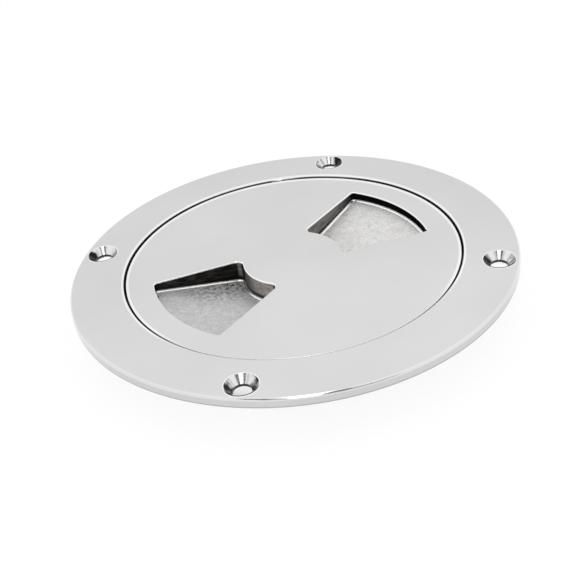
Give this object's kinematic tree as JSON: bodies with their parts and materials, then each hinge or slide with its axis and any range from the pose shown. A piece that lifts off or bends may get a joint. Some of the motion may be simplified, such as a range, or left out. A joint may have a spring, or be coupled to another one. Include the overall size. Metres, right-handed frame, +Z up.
{
  "type": "deck inspection plate",
  "caption": "Round screw-in deck plate of polished stainless steel: countersunk flange ring for the deck and a threaded lid with finger pockets.",
  "frame": {"origin": "middle of the circle of screw holes, in the plane of the flange's underside that lies on the deck", "axes": "+Z up and out of the deck along the plate's axis; the screw holes lie on +X, +Y, -X and -Y"},
  "size_m": [0.147, 0.147, 0.0164],
  "materials": {
    "ring_steel": "polished cast stainless steel",
    "lid_steel": "polished cast stainless steel, finger pockets left as cast",
    "seal_rubber": "matt black nitrile rubber"
  },
  "bodies": {
    "ring": {"deck_ring": "ring_steel"},
    "seal": {"o_ring": "seal_rubber"},
    "lid": {"screw_lid": "lid_steel"}
  },
  "joints": [
    {"name": "lid_rise", "type": "slide", "parent": "ring", "child": "seal", "axis": [0, 0, 1], "range_m": [0, 0.01401]},
    {"name": "lid_turn", "type": "hinge", "parent": "seal", "child": "lid", "pos_m": [0, 0, 0], "axis": [0, 0, 1], "range_deg": [0, 1260]}
  ],
  "couplings": [
    {"joint": "lid_rise", "follows": "lid_turn", "m_per_rad": 0.00063662}
  ]
}
